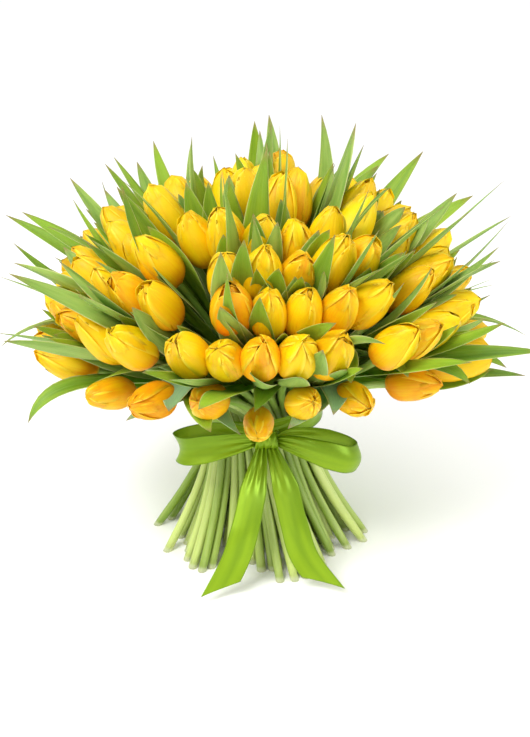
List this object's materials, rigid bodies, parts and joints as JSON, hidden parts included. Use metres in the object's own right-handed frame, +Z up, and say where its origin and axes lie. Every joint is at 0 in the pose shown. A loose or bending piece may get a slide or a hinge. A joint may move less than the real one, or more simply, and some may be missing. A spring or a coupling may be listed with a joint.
{
  "type": "bunch of tulips",
  "caption": "Hand-tied spiral bunch of tulips with leaves, a satin ribbon bow at the neck and splayed cut stems that it stands on.",
  "frame": {"origin": "centre of the ring of cut stem ends, on the standing plane, under the middle of the tied neck", "axes": "+Z up along the axis of the bunch, -Y towards the front with the bow, +X to the right seen from the front"},
  "size_m": [0.5249, 0.4661, 0.4155],
  "materials": {
    "petals": "waxy yellow petals with an orange base",
    "stems": "smooth pale green, slightly waxy",
    "leaves": "fresh green with a blue-green bloom on the back",
    "ribbon": "lime-green satin",
    "tie": "green twine, hidden under the ribbon"
  },
  "bodies": {
    "root": {"heads_crown": "petals", "heads_top_1": "petals", "heads_top_2": "petals", "heads_top_3": "petals", "heads_upper_1": "petals", "heads_upper_2": "petals", "heads_upper_3": "petals", "heads_upper_4": "petals", "heads_middle_1": "petals", "heads_middle_2": "petals", "heads_middle_3": "petals", "heads_middle_4": "petals", "heads_middle_5": "petals", "heads_wide_1": "petals", "heads_wide_2": "petals", "heads_wide_3": "petals", "heads_wide_4": "petals", "heads_wide_5": "petals", "heads_wide_6": "petals", "heads_lower_1": "petals", "heads_lower_2": "petals", "heads_lower_3": "petals", "heads_lower_4": "petals", "head_low_1": "petals", "head_low_2": "petals", "head_low_3": "petals", "head_low_4": "petals", "head_low_5": "petals", "head_low_6": "petals", "head_low_7": "petals", "stems_below": "stems", "stems_inner": "stems", "stems_outer_1": "stems", "stems_outer_2": "stems", "stems_outer_3": "stems", "stems_outer_4": "stems", "stems_front_1": "stems", "stems_front_2": "stems", "leaf_1": "leaves", "leaf_2": "leaves", "leaf_3": "leaves", "leaf_4": "leaves", "leaf_5": "leaves", "leaf_6": "leaves", "leaf_7": "leaves", "leaf_8": "leaves", "leaf_9": "leaves", "leaf_10": "leaves", "leaf_11": "leaves", "leaf_12": "leaves", "leaf_13": "leaves", "leaf_14": "leaves", "leaf_15": "leaves", "tie": "tie", "ribbon_band": "ribbon", "ribbon_knot": "ribbon", "ribbon_loop_left": "ribbon", "ribbon_loop_right": "ribbon", "ribbon_tail_left": "ribbon", "ribbon_tail_right": "ribbon"}
  },
  "joints": []
}
